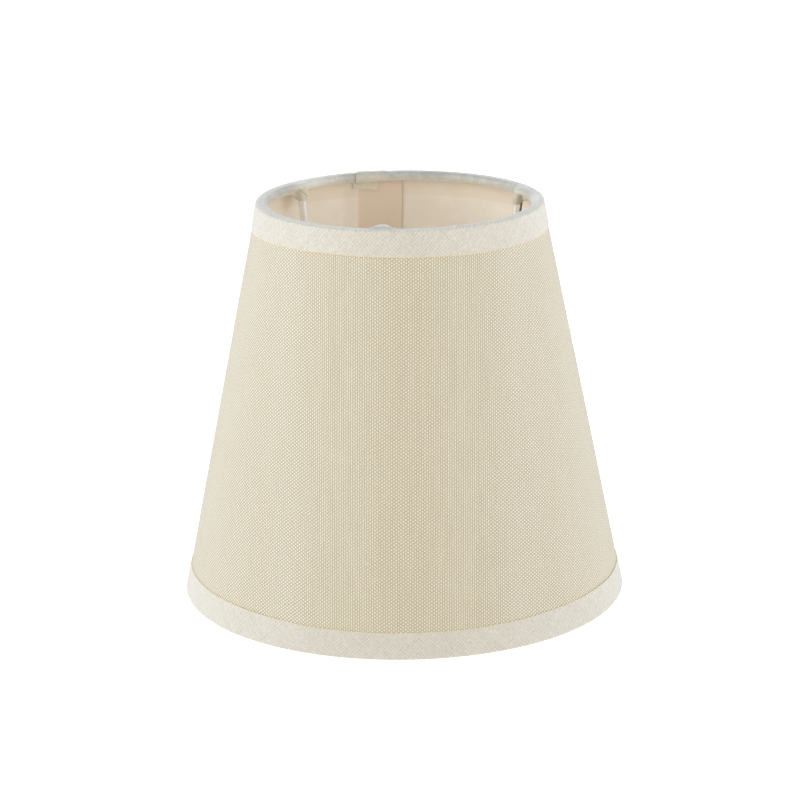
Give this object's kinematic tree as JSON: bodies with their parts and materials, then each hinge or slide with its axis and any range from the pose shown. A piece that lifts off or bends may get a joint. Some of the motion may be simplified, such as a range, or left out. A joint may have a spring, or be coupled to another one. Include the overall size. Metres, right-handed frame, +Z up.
{
  "type": "lamp shade",
  "caption": "Small tapered fabric lamp shade with taped edges, wire rings and a recessed three-arm ring fitter for a small lampholder.",
  "frame": {"origin": "centre of the bottom opening, on the surface the shade stands on", "axes": "+Z up along the shade's axis, -Y towards the front, the lapped seam at the back (+Y)"},
  "size_m": [0.1394, 0.1394, 0.1253],
  "materials": {
    "cover_fabric": "plain woven, cream with lighter slubs",
    "liner": "matt translucent sheet, warm white",
    "adhesive": "clear double-sided tape",
    "wire": "bright zinc plate",
    "fitter": "bright zinc plate, stamped",
    "binding": "fine bias-cut tape, ivory, slight satin sheen"
  },
  "bodies": {
    "root": {"cover_fabric": "cover_fabric", "liner_sheet": "liner", "seam_adhesive_tape": "adhesive", "top_ring_wire": "wire", "bottom_ring_wire": "wire", "drop_arm_front": "wire", "drop_arm_left": "wire", "drop_arm_right": "wire", "fitter_ring": "fitter", "top_binding_tape": "binding", "bottom_binding_tape": "binding"}
  },
  "joints": []
}
